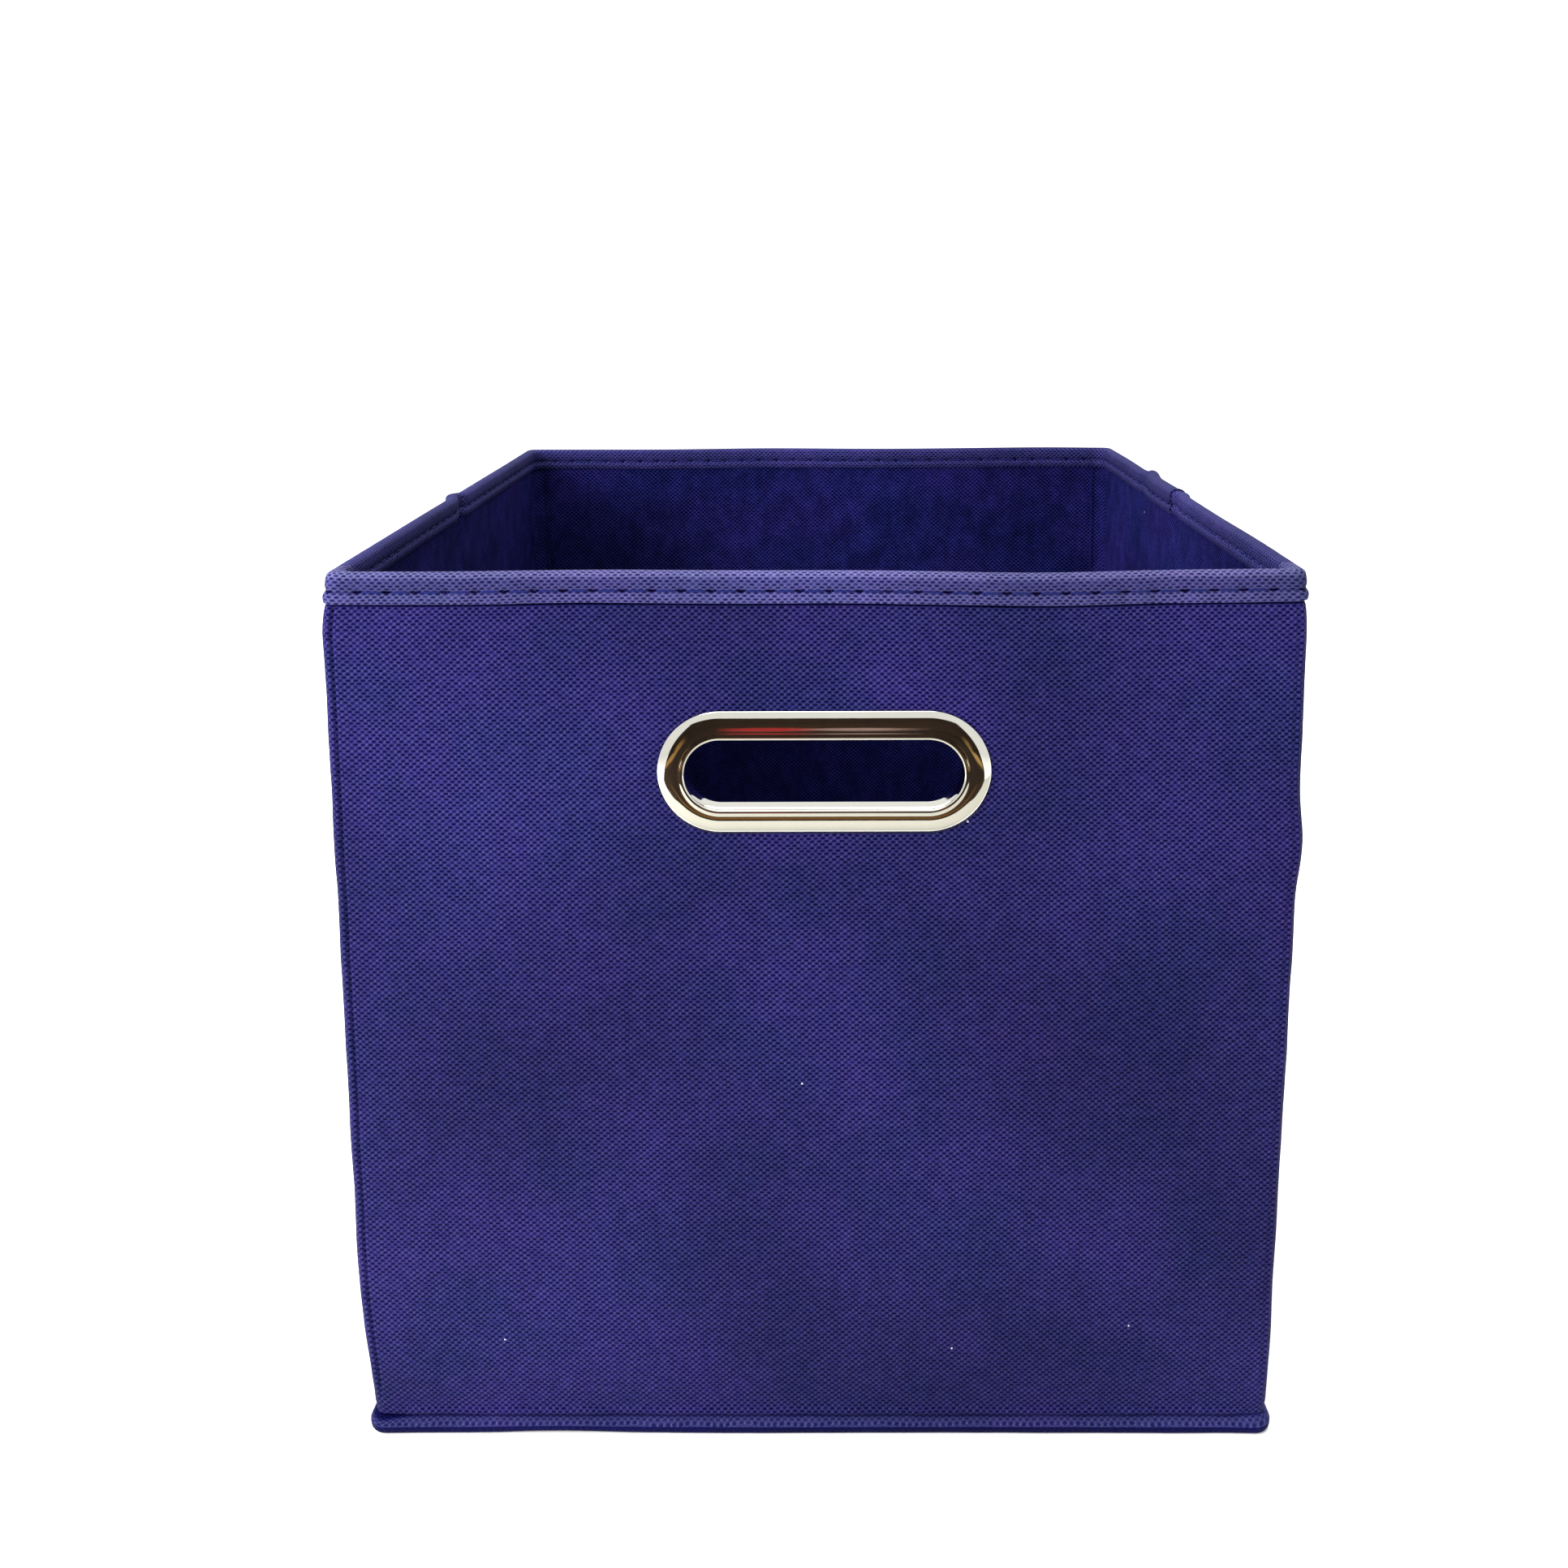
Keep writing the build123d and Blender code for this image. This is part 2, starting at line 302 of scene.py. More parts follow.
class Nodes:
    """Adds and links the nodes of one material."""

    def __init__(self, name):
        self.material = bpy.data.materials.new(name)
        self.material.use_nodes = True
        self.tree = self.material.node_tree
        self.tree.nodes.clear()

    def add(self, kind, inputs=None, **settings):
        node = self.tree.nodes.new(kind)
        for key, value in settings.items():
            setattr(node, key, value)
        for key, value in (inputs or {}).items():
            self.plug(node.inputs[key], value)
        return node

    def plug(self, socket, value):
        if isinstance(value, bpy.types.NodeSocket):
            self.tree.links.new(value, socket)
        else:
            socket.default_value = value

    def math(self, operation, *values):
        inputs = dict(enumerate(values))
        return self.add("ShaderNodeMath", inputs, operation=operation).outputs[0]

    def times(self, a, b):
        return self.math("MULTIPLY", a, b)

    def over(self, a, b):
        return self.math("DIVIDE", a, b)

    def plus(self, a, b):
        return self.math("ADD", a, b)

    def minus(self, a, b):
        return self.math("SUBTRACT", a, b)

    def parts(self, vector):
        return self.add("ShaderNodeSeparateXYZ", {0: vector}).outputs

    def vector(self, operation, *values):
        inputs = dict(enumerate(values))
        return self.add("ShaderNodeVectorMath", inputs, operation=operation).outputs[0]

    def scaled(self, vector, factor):
        node = self.add("ShaderNodeVectorMath", {0: vector, "Scale": factor}, operation="SCALE")
        return node.outputs[0]

    def fade(self, value, low, high, start=0.0, end=1.0):
        inputs = {0: value, 1: low, 2: high, 3: start, 4: end}
        node = self.add("ShaderNodeMapRange", inputs, interpolation_type="SMOOTHSTEP")
        return node.outputs[0]

    def mix(self, factor, a, b, blend="MIX"):
        node = self.add("ShaderNodeMix", {0: factor, 6: a, 7: b}, data_type="RGBA", blend_type=blend)
        return node.outputs[2]

    def noise(self, vector, scale, detail=2.0, roughness=0.5):
        inputs = {"Vector": vector, "Scale": scale, "Detail": detail, "Roughness": roughness}
        return self.add("ShaderNodeTexNoise", inputs)

    def cloth_place(self):
        """Place on the cloth in millimetres, from the piece's own UV map."""
        uv = self.add("ShaderNodeUVMap", uv_map="UVMap").outputs[0]
        return self.scaled(uv, 1000.0)

    def surface(self, inputs):
        shader = self.add("ShaderNodeBsdfPrincipled", inputs)
        self.add("ShaderNodeOutputMaterial", {0: shader.outputs[0]})
        return self.material


def colour(red, green, blue):
    """An opaque linear colour."""
    return (red, green, blue, 1.0)


def blob(nodes, u, v, wide, high, slant=0.0):
    """Distance from a lattice point in dash sizes: below 1 inside the stroke."""
    v = nodes.minus(v, nodes.times(u, slant))
    u = nodes.over(u, wide)
    v = nodes.over(v, high)
    return nodes.math("SQRT", nodes.plus(nodes.times(u, u), nodes.times(v, v)))


def dashes(nodes, place):
    """Embossed dashes in staggered level rows, and the raised slanting strands between them."""
    drift = nodes.vector("SUBTRACT", nodes.noise(place, 0.09, 1.0).outputs["Color"], (0.5, 0.5, 0.5))
    place = nodes.vector("ADD", place, nodes.scaled(drift, 1.1))
    parts = nodes.parts(place)
    up = nodes.over(parts[1], DASH_ROWS)
    row = nodes.math("FLOOR", up)
    stagger = nodes.times(nodes.math("FLOORED_MODULO", row, 2.0), 0.5)
    column = nodes.plus(nodes.over(parts[0], DASH_PITCH), stagger)
    u = nodes.times(nodes.minus(nodes.math("FRACT", column), 0.5), DASH_PITCH)
    between = nodes.math("FRACT", nodes.plus(column, 0.5))
    far_u = nodes.times(nodes.minus(between, 0.5), DASH_PITCH)
    v = nodes.times(nodes.minus(nodes.math("FRACT", up), 0.5), DASH_ROWS)
    cell = nodes.add("ShaderNodeCombineXYZ", {0: nodes.math("FLOOR", column), 1: row})
    chance = nodes.add("ShaderNodeTexWhiteNoise", {"Vector": cell.outputs[0]}, noise_dimensions="2D")
    depth = nodes.fade(chance.outputs["Value"], 0.0, 0.7, 0.6, 1.0)
    dash = nodes.fade(blob(nodes, u, v, DASH_LENGTH, DASH_HEIGHT), 0.5, 1.3, 1.0, 0.0)
    strand = nodes.fade(blob(nodes, far_u, v, STRAND_LENGTH, STRAND_HEIGHT, 0.14), 0.3, 1.35, 1.0, 0.0)
    patchy = nodes.fade(nodes.noise(place, 0.30, 2.0).outputs[0], 0.35, 0.65, 0.55, 1.0)
    return nodes.times(dash, depth), nodes.times(strand, patchy)


def sewn_holes(nodes, place):
    """1 in the needle holes of the binding, whose map is laid out from them."""
    pitch = STITCH_PITCH / MM
    parts = nodes.parts(place)
    turn = nodes.math("FRACT", nodes.plus(nodes.over(parts[0], pitch), 0.5))
    along = nodes.times(nodes.minus(turn, 0.5), pitch)
    across = nodes.minus(parts[1], HOLE_PLACE)
    return nodes.fade(blob(nodes, along, across, 1.45, 0.42), 0.6, 1.25, 1.0, 0.0)


def lint(nodes, place):
    """Rare pale specks of lint."""
    settings = {"Vector": place, "Scale": 0.021, "Randomness": 1.0}
    cells = nodes.add("ShaderNodeTexVoronoi", settings, voronoi_dimensions="2D")
    near = nodes.fade(cells.outputs["Distance"], 0.003, 0.008, 1.0, 0.0)
    parts = nodes.add("ShaderNodeSeparateColor", {0: cells.outputs["Color"]})
    return nodes.times(near, nodes.math("GREATER_THAN", parts.outputs[0], 0.86))


def fabric(name, blue, violet, deep=0.25, weave=1.2, sheen_paling=2.5, rubbed=0.05, gloss=0.03, painted_shading=None):
    """Embossed nonwoven cloth, mottled between a bluish and a purplish dye shade.

    Its raised strands are paler as well as lighter, a painted sheen: paling is how steeply red and green
    follow the tone.
    deep is the tone left in the dashes, weave the strength of the strands, rubbed that of the streaks.
    wear is an optional function of the nodes and the place that gives a factor for the tone, to paint shade
    and light onto the cloth.
    """
    nodes = Nodes(name)
    place = nodes.cloth_place()
    dash, strand = dashes(nodes, place)
    mottle = nodes.fade(nodes.noise(place, 0.024, 4.0, 0.6).outputs[0], 0.30, 0.70)
    dyed = nodes.mix(mottle, blue, violet)
    cloud = nodes.fade(nodes.noise(place, 0.012, 3.0).outputs[0], 0.3, 0.7, 0.77, 1.24)
    streaks = nodes.noise(nodes.vector("MULTIPLY", place, (0.13, 0.08, 1.0)), 1.0, 3.0, 0.6).outputs[0]
    cloud = nodes.times(cloud, nodes.fade(streaks, 0.3, 0.7, 1 - rubbed, 1 + rubbed))
    fibre = nodes.noise(nodes.vector("MULTIPLY", place, (3.2, 4.6, 1.0)), 1.0, 2.0, 0.6).outputs[0]
    grain = nodes.fade(fibre, 0.28, 0.72, 0.74, 1.30)
    light = nodes.times(grain, nodes.fade(strand, 0.0, 1.0, 1 - 0.06 * weave, 1 + 0.31 * weave))
    tone = nodes.times(light, nodes.fade(dash, 0.0, 1.0, 1.0, deep))
    # Painted shade and painted light, from the given function
    if painted_shading:
        tone = nodes.times(tone, painted_shading(nodes, place))
    # Red and green follow the tone more steeply: painted sheen on the raised strands
    pale = nodes.times(nodes.math("POWER", tone, sheen_paling), cloud)
    tone = nodes.times(tone, cloud)
    shade = nodes.add("ShaderNodeCombineColor", {0: pale, 1: pale, 2: tone}).outputs[0]
    cloth = nodes.mix(1.0, dyed, shade, "MULTIPLY")
    cloth = nodes.mix(lint(nodes, place), cloth, colour(0.42, 0.40, 0.46))
    height = nodes.plus(nodes.times(strand, 0.35), nodes.times(fibre, 0.25))
    height = nodes.minus(height, dash)
    bump = nodes.add("ShaderNodeBump", {"Strength": 1.0, "Distance": 0.2 * MM, "Height": height})
    return nodes.surface({
        "Base Color": cloth,
        "Roughness": nodes.fade(dash, 0.0, 1.0, 0.70, 0.54),
        "Normal": bump.outputs[0],
        "Specular IOR Level": gloss,
    })


def painted_shadow_below_binding(nodes, place):
    """Painted shadow in the line under the binding's lower edge."""
    up = nodes.parts(place)[1]
    away = nodes.math("ABSOLUTE", nodes.minus(up, TAPE_LOW / MM - 0.1))
    return nodes.fade(away, 0.3, 0.9, 0.22, 1.0)


def sewn(nodes, place):
    """Shadow in the needle holes of the binding, and in the line pressed between them."""
    across = nodes.parts(place)[1]
    away = nodes.math("ABSOLUTE", nodes.minus(across, HOLE_PLACE))
    line = nodes.fade(away, 0.12, 0.50, 0.62, 1.0)
    return nodes.times(line, nodes.fade(sewn_holes(nodes, place), 0.0, 1.0, 1.0, 0.16))


def sewn_with_painted_light_and_shade(nodes, place):
    """Painted shadow in the needle holes, painted light along the front's turn where it faces the top light,
    and painted shade in the hollow below it.
    """
    across = nodes.parts(place)[1]
    # Painted light on the turn, painted shade in the hollow
    turn = nodes.times(nodes.fade(across, 7.0, 9.0), nodes.fade(across, 11.0, 14.0, 1.0, 0.0))
    hollow = nodes.times(nodes.fade(across, 4.2, 5.2), nodes.fade(across, 6.8, 8.2, 1.0, 0.0))
    pale = nodes.fade(turn, 0.0, 1.0, 1.0, 1.28)
    dark = nodes.fade(hollow, 0.0, 1.0, 1.0, 0.86)
    return nodes.times(sewn(nodes, place), nodes.times(pale, dark))


def painted_shade_under_hem(nodes, place):
    """Painted shade on the base band's upper face, where it goes under the cover's hem."""
    girth = nodes.parts(place)[1]
    return nodes.fade(girth, 1.6, 4.0, 1.0, 0.42)


def thread_material():
    """Twisted sewing thread, bluer than the cloth."""
    nodes = Nodes("sewing thread")
    uv = nodes.add("ShaderNodeUVMap", uv_map="UVMap").outputs[0]
    parts = nodes.parts(uv)
    turns = nodes.plus(nodes.times(parts[0], 7.0), parts[1])
    twist = nodes.math("SINE", nodes.times(turns, 4 * math.pi))
    strand = nodes.fade(twist, -1.0, 0.6)
    # The grooves between the twist's strands are painted darker: painted shade
    shade = nodes.mix(strand, colour(0.003, 0.004, 0.030), colour(0.010, 0.014, 0.105))
    bump = nodes.add("ShaderNodeBump", {"Strength": 0.8, "Distance": 0.1 * MM, "Height": strand})
    return nodes.surface({
        "Base Color": shade,
        "Roughness": 0.6,
        "Normal": bump.outputs[0],
        "Specular IOR Level": 0.1,
    })


def cardboard_material():
    """Grey-brown board with fibres and faint flutes."""
    nodes = Nodes("wall cardboard")
    place = nodes.cloth_place()
    fibres = nodes.noise(nodes.vector("MULTIPLY", place, (0.6, 4.0, 1.0)), 1.0, 4.0, 0.6).outputs[0]
    parts = nodes.parts(place)
    flutes = nodes.math("SINE", nodes.times(parts[0], 2 * math.pi / 6.0))
    shade = nodes.mix(nodes.fade(fibres, 0.3, 0.7), colour(0.21, 0.145, 0.085), colour(0.33, 0.24, 0.15))
    height = nodes.plus(nodes.times(flutes, 0.3), fibres)
    bump = nodes.add("ShaderNodeBump", {"Strength": 0.6, "Distance": 0.15 * MM, "Height": height})
    return nodes.surface({"Base Color": shade, "Roughness": 0.85, "Normal": bump.outputs[0]})


def chrome_material():
    """Warm polished plating with faint polishing haze and handling marks."""
    nodes = Nodes("grommet plating")
    place = nodes.cloth_place()
    haze = nodes.noise(place, 0.25, 3.0, 0.6).outputs[0]
    marks = nodes.noise(nodes.vector("MULTIPLY", place, (0.4, 6.0, 1.0)), 1.0, 2.0).outputs[0]
    hazy = nodes.fade(haze, 0.35, 0.75, 0.035, 0.10)
    rough = nodes.plus(hazy, nodes.fade(marks, 0.6, 0.8, 0.0, 0.05))
    plating = nodes.mix(haze, colour(0.535, 0.525, 0.465), colour(0.59, 0.58, 0.525))
    bump = nodes.add("ShaderNodeBump", {"Strength": 0.10, "Distance": 0.05 * MM, "Height": haze})
    return nodes.surface({
        "Base Color": plating,
        "Metallic": 1.0,
        "Roughness": rough,
        "Normal": bump.outputs[0],
    })


# The cover's red and green sit above the lining's as a painted sheen of the front lights
COVER = fabric(
    "cover cloth", colour(0.0104, 0.0118, 0.0625), colour(0.0138, 0.0098, 0.0625), painted_shading=painted_shadow_below_binding,
)
# The lining is the cover's cloth with lower red and green: painted shade inside the bin
LINING = fabric(
    "lining cloth", colour(0.0062, 0.0080, 0.060), colour(0.0086, 0.0070, 0.060), rubbed=0.25, gloss=0.01,
)
SIDE_BINDING = fabric(
    "binding tape", colour(0.0190, 0.0200, 0.088), colour(0.0225, 0.0185, 0.088),
    weave=0.8, sheen_paling=2.2, painted_shading=sewn,
)
# The side tape painted lighter for the front hem, which faces the lights: painted light
LIT_FRONT_BINDING = fabric(
    "front binding tape", colour(0.0375, 0.0385, 0.116), colour(0.0420, 0.0360, 0.116),
    weave=0.75, sheen_paling=1.7, painted_shading=sewn_with_painted_light_and_shade,
)
BAND = fabric(
    "base binding", colour(0.0165, 0.0185, 0.074), colour(0.0185, 0.0165, 0.074),
    deep=0.6, weave=0.7, painted_shading=painted_shade_under_hem,
)
# Base and insert copy the lining's painted shade
BASE = fabric("base cloth", colour(0.0058, 0.0080, 0.066), colour(0.0084, 0.0067, 0.066))
INSERT = fabric("insert cloth", colour(0.0062, 0.0084, 0.069), colour(0.0088, 0.0070, 0.069))
THREAD = thread_material()
CARD = cardboard_material()
CHROME = chrome_material()


# ---------------------------------------------------------------- walls

# Each panel's cloth: where it starts and ends along the ring, the bodies it bends between,
# the plan places where that bend starts and ends, and the corners that it stands for.
PANELS = {
    "front": (
        -QUARTER + SIDE_END, QUARTER - SIDE_END, ("left_front_wall", "front_wall"),
        ((-HALF, -SIDE_END), (-HALF + 5 * MM, -HALF)), ("front_left_corner", "front_right_corner"),
    ),
    "right_front": (
        QUARTER - SIDE_END, QUARTER + CREASE, ("right_rear_wall", "right_front_wall"),
        ((HALF, CREASE), (HALF, -CREASE)), (),
    ),
    "right_rear": (
        QUARTER + CREASE, 2 * QUARTER - BACK_END, ("back_wall", "right_rear_wall"),
        ((HALF - 5 * MM, HALF), (HALF, SIDE_END)), ("back_right_corner",),
    ),
    "back": (2 * QUARTER - BACK_END, 2 * QUARTER + BACK_END, ("back_wall",), (), ()),
    "left_rear": (
        -2 * QUARTER + BACK_END, -QUARTER - CREASE, ("back_wall", "left_rear_wall"),
        ((-HALF + 5 * MM, HALF), (-HALF, SIDE_END)), ("back_left_corner",),
    ),
    "left_front": (
        -QUARTER - CREASE, -QUARTER + SIDE_END, ("left_rear_wall", "left_front_wall"),
        ((-HALF, CREASE), (-HALF, -CREASE)), (),
    ),
}

# Where each panel's stitching runs, as distances along the ring
ROWS = {
    "front": (-FRONT_ROW, FRONT_ROW),
    "right_front": (QUARTER - SIDE_END, QUARTER - 0.3 * MM),
    "right_rear": (QUARTER + end_high.y, QUARTER + SIDE_END),
    "back": (2 * QUARTER - FRONT_ROW, 2 * QUARTER + FRONT_ROW),
    "left_rear": (-QUARTER - SIDE_END, -QUARTER - 0.3 * MM),
    "left_front": (-QUARTER + 0.3 * MM, -QUARTER + SIDE_END),
}

GROMMET_X = (ring_low.x + ring_high.x) / 2
GROMMET_Z = (ring_low.z + ring_high.z) / 2
FLANGE = 8.45 * MM  # width of the grommet's front ring
OPENING_RADIUS = (ring_high.z - ring_low.z) / 2 - FLANGE + 0.25 * MM
OPENING_STRAIGHT = (ring_high.x - ring_low.x - (ring_high.z - ring_low.z)) / 2
HOLE_MARGIN = 1.1 * MM  # the cloth is cut this far outside the opening


def from_opening(x, z):
    """Distance outward from the edge of the grommet's opening, and the direction it grows in."""
    along = np.clip(x - GROMMET_X, -OPENING_STRAIGHT, OPENING_STRAIGHT)
    dx, dz = x - GROMMET_X - along, z - GROMMET_Z
    reach = np.hypot(dx, dz) + 1e-9
    return reach - OPENING_RADIUS, dx / reach, dz / reach


def side_creases(distance, width):
    """Humps of height 1 along the folds at the middle of both side walls."""
    return hump(distance, QUARTER, width) + hump(distance, -QUARTER, width)


def corner_lines(distance):
    """Pressed lines beside the upright corners: deep at the left of the front, faint elsewhere."""
    from_left, from_right = distance + HALF, HALF - distance
    left = 1.00 * hump(from_left, 3.4 * MM, 0.5 * MM) - 0.16 * hump(from_left, 1.6 * MM, 1.0 * MM)
    right = 0.30 * hump(from_right, 3.2 * MM, 0.5 * MM) - 0.20 * hump(from_right, 2.0 * MM, 0.6 * MM)
    rear = 0.25 * hump(np.abs(distance), 2 * QUARTER - BACK_END, 0.6 * MM)
    return left + right + rear


HEM_PROUD = 1.0  # how far the cover's lower hem stands out over the base band, in millimetres


def cover_face(distance, z):
    """Inset of the cover's outer face, in metres."""
    relief = 0.24 * ripple(distance, z, 0.034, 0.7, 21) + 0.05 * ripple(distance, z, 0.012, 2.3, 22)
    relief -= 0.95 * side_creases(distance, 1.7 * MM) - 0.25 * side_creases(distance, 6 * MM)
    relief -= corner_lines(distance) * step(z, 0.008, 0.02)
    from_corner = np.abs(np.mod(distance, QUARTER) - QUARTER / 2)
    hem = HEM_PROUD * hump(z, BAND_TOP + 1.4 * MM, 1.3 * MM) * step(from_corner, 3 * MM, 12 * MM)
    relief += hem - 0.40 * (1 - step(z, WALL_LOW, WALL_LOW + 4 * MM))
    relief -= 0.15 * step(z, TAPE_LOW - 3 * MM, TAPE_LOW) + 0.50 * hump(z, TAPE_LOW - 0.2 * MM, 0.5 * MM)
    reach, _, _ = from_opening(distance, z)
    front = (np.abs(distance) < FLAT) * 1.0
    pucker = ripple(distance, z, 0.011, 0.9, 23) * hump(reach, FLANGE + 4 * MM, 4 * MM)
    relief -= front * (0.30 * hump(reach, FLANGE - 1 * MM, 2.2 * MM) + 0.10 * pucker)
    return -relief * MM


def lining_face(distance, z):
    """Inset of the lining's inner face, in metres."""
    slack = 0.38 * ripple(distance, z, 0.026, 0.8, 31) + 0.20 * ripple(distance, z, 0.012, 0.3, 32)
    slack += 0.2 * side_creases(distance, 1.5 * MM)
    slack -= 0.3 * (1 - step(z, WALL_LOW, WALL_LOW + 4 * MM))
    from_corner = np.abs(np.mod(distance, QUARTER) - QUARTER / 2)
    slack += 0.5 * hump(from_corner, 4.2 * MM, 0.6 * MM)
    reach, _, _ = from_opening(distance, z)
    slack -= 0.3 * (np.abs(distance) < FLAT) * (1 - step(reach, 7 * MM, 14 * MM))
    return WALL + np.maximum(slack, -0.25) * MM


def cut_hole(x, z, margin):
    """The cells kept round the grommet's hole, and the grid with its edge drawn onto the cut line."""
    reach, out_x, out_z = from_opening(x, z)
    reach = reach - margin
    middle = (reach[:-1, :-1] + reach[1:, :-1] + reach[1:, 1:] + reach[:-1, 1:]) / 4
    keep = middle > 0
    kept, dropped = np.zeros(x.shape, bool), np.zeros(x.shape, bool)
    for rows in (slice(None, -1), slice(1, None)):
        for columns in (slice(None, -1), slice(1, None)):
            kept[rows, columns] |= keep
            dropped[rows, columns] |= ~keep
    edge = kept & dropped
    return keep, x - edge * reach * out_x, z - edge * reach * out_z


def wall_layer(name, low, high, bottom, outer, inner, material, pitch, fine, cut):
    """One layer of a wall between two insets, given as functions of distance and height."""
    across = lines(low, high, pitch, *fine)
    up = lines(bottom, CLOTH_TOP, pitch, (bottom, bottom + 11 * MM, 0.6 * MM), (0.192, 0.237, 1.3 * MM),
               (TAPE_LOW - 5 * MM, CLOTH_TOP, 1.2 * MM), (TAPE_LOW - 1.4 * MM, TAPE_LOW + 0.8 * MM, 0.3 * MM))
    distance, z = np.meshgrid(across, up, indexing="ij")
    uv = np.stack([distance, z], -1)
    faces, keep = [], None
    for inset in (outer(distance, z), inner(distance, z)):
        x, y = ring(distance, inset)
        height = z
        if cut:
            keep, x, height = cut_hole(x, z, HOLE_MARGIN)
        faces.append(settle(np.stack([x, y, height], -1)))
    return thick_sheet(name, *faces, uv, material, keep)


def attach(piece, bodies):
    """Ride one body; a piece between two bodies only has its transform baked in."""
    if len(bodies) == 1:
        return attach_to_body(piece, bodies[0])
    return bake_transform(piece)


def fine_places(low, high):
    """Stretches of a panel that need closer grid lines: its corners, its fold and the grommet."""
    places = [(corner * QUARTER + sign * HALF - 7 * MM, corner * QUARTER + sign * HALF + 7 * MM, 0.4 * MM)
              for corner in (-2, -1, 0, 1, 2) for sign in (-1, 1)]
    places += [(sign * QUARTER - 7 * MM, sign * QUARTER + 7 * MM, 0.6 * MM) for sign in (-1, 1)]
    places += [(ring_low.x - 4 * MM, ring_high.x + 4 * MM, 1.3 * MM)]
    return [place for place in places if place[1] > low and place[0] < high]


def wall_skins(panel):
    """The outer cover and the inner lining of one panel."""
    low, high, bodies, bend, corners = PANELS[panel]
    cut = panel == "front"
    fine = fine_places(low, high)
    cover = wall_layer(
        f"{panel}_cover_cloth", low, high, WALL_LOW, cover_face,
        lambda s, z: cover_face(s, z) + CLOTH, COVER, 2.6 * MM, fine, cut,
    )
    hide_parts(f"{panel}_cover", *corners)
    lining = wall_layer(
        f"{panel}_lining_cloth", low, high, WALL_LOW, lambda s, z: lining_face(s, z) - CLOTH,
        lining_face, LINING, 2.6 * MM, fine, cut,
    )
    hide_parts(f"{panel}_lining")
    for piece, slot in ((cover, "cover_cloth"), (lining, "lining_cloth")):
        attach(piece, bodies)


BOARD_GAP = 0.45 * MM  # slack between the cover and its board
BOARD_PRESSED = 0.7 * MM  # the board is this much thinner than in the frame, so the pressed lines clear it
BOARD_RAISED = 3.5 * MM  # and it starts this much higher, above the hem


def wall_board(panel):
    """The cardboard inside one panel, warped as its cloth is."""
    low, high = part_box(f"{panel}_board")
    side = {"front": 0, "right": 1, "back": 2, "left": -1}[panel.split("_")[0]]
    across = {0: (low.x, high.x), 1: (low.y, high.y), 2: (-high.x, -low.x), -1: (-high.y, -low.y)}[side]
    outer = CLOTH + BOARD_GAP
    inner = outer + BOARD - BOARD_PRESSED
    board = wall_layer(
        f"{panel}_board_card", side * QUARTER + across[0], side * QUARTER + across[1], low.z + BOARD_RAISED,
        lambda s, z: outer + 0 * s, lambda s, z: inner + 0 * s, CARD, 5 * MM,
        [(ring_low.x - 4 * MM, ring_high.x + 4 * MM, 1.5 * MM)] if panel == "front" else [], panel == "front",
    )
    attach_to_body(board, f"{panel}_wall")
    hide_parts(f"{panel}_board")


# ---------------------------------------------------------------- rim binding


def stitch_centres(low, high):
    """Middles of the stitches in a row, as the frame has them."""
    count = int((high - low) // STITCH_PITCH)
    return (low + high) / 2 + (np.arange(count) - (count - 1) / 2) * STITCH_PITCH


def needle_holes(distance, rows):
    """How deep the needle pulls the tape in, from 0 to 1, along the ring."""
    depth = np.zeros_like(distance)
    random = np.random.default_rng(41)
    for low, high in rows:
        centres = stitch_centres(low, high)
        for place in [*(centres - STITCH_PITCH / 2), centres[-1] + STITCH_PITCH / 2]:
            depth = np.maximum(depth, random.uniform(0.75, 1.0) * hump(distance, place, 1.05 * MM))
    return depth


TAPE_DROP = RIM - TAPE_LOW
ROUND = 1.7 * MM  # height of the tape's turn over the rim
MIDDLE = -WALL / 2
TAPE_THICK = TAPE - 0.12 * MM
END_LIFT = 0.62  # the tape's loose end stands this far off the tape under it, in millimetres


def tape_side(height, holes, distance):
    """How far the tape's outer face stands off the wall, at a height below its turn, in metres."""
    lobe = hump(height, TAPE_LOW + 1.7 * MM, 1.35 * MM)
    puff = hump(height, STITCH_Z + 2.4 * MM, 1.7 * MM)
    groove = hump(height, STITCH_Z, 0.62 * MM)
    loose = ripple(distance, height, 0.012, 0.1, 42)
    stand = 0.62 + 0.46 * lobe * (1 - 0.35 * holes) + 0.30 * puff * (1 - 0.25 * holes)
    cut_edge = 1 - step(height, TAPE_LOW - 0.1 * MM, TAPE_LOW + 0.5 * MM)
    stand -= groove * (0.34 + 0.80 * holes) + 0.12 * cut_edge
    return (stand + 0.09 * loose) * MM


def tape_profile(distance, holes, lift, thickness):
    """Offsets from the cover (outward) and heights across the tape, from its outer to its inner edge."""
    drift = 0.22 * MM * ripple(distance, 0, 0.06, 0.0, 43)
    up = np.concatenate([
        np.linspace(0, 2.7 * MM, 12)[:-1],
        np.linspace(2.7 * MM, 4.4 * MM, 12)[:-1],
        np.linspace(4.4 * MM, TAPE_DROP - ROUND, 8),
    ])
    turn = np.linspace(0, math.pi, 17)[1:-1]
    d, h = np.meshgrid(distance, TAPE_LOW + up, indexing="ij")
    deep = np.broadcast_to(holes[:, None], d.shape)
    side = tape_side(h, deep, d) + lift - thickness
    low_edge = (1 - step(h, TAPE_LOW, TAPE_LOW + 3 * MM)) * drift[:, None]
    reach = side[:, -1:] - MIDDLE
    over = MIDDLE + reach * np.cos(turn)
    crown = RIM - ROUND + (ROUND + lift - thickness) * np.sin(turn) + 0 * reach
    offsets = np.concatenate([side, over, -WALL - side[:, ::-1]], 1)
    heights = np.concatenate([h + low_edge, crown, (h + low_edge)[:, ::-1]], 1)
    return offsets, heights


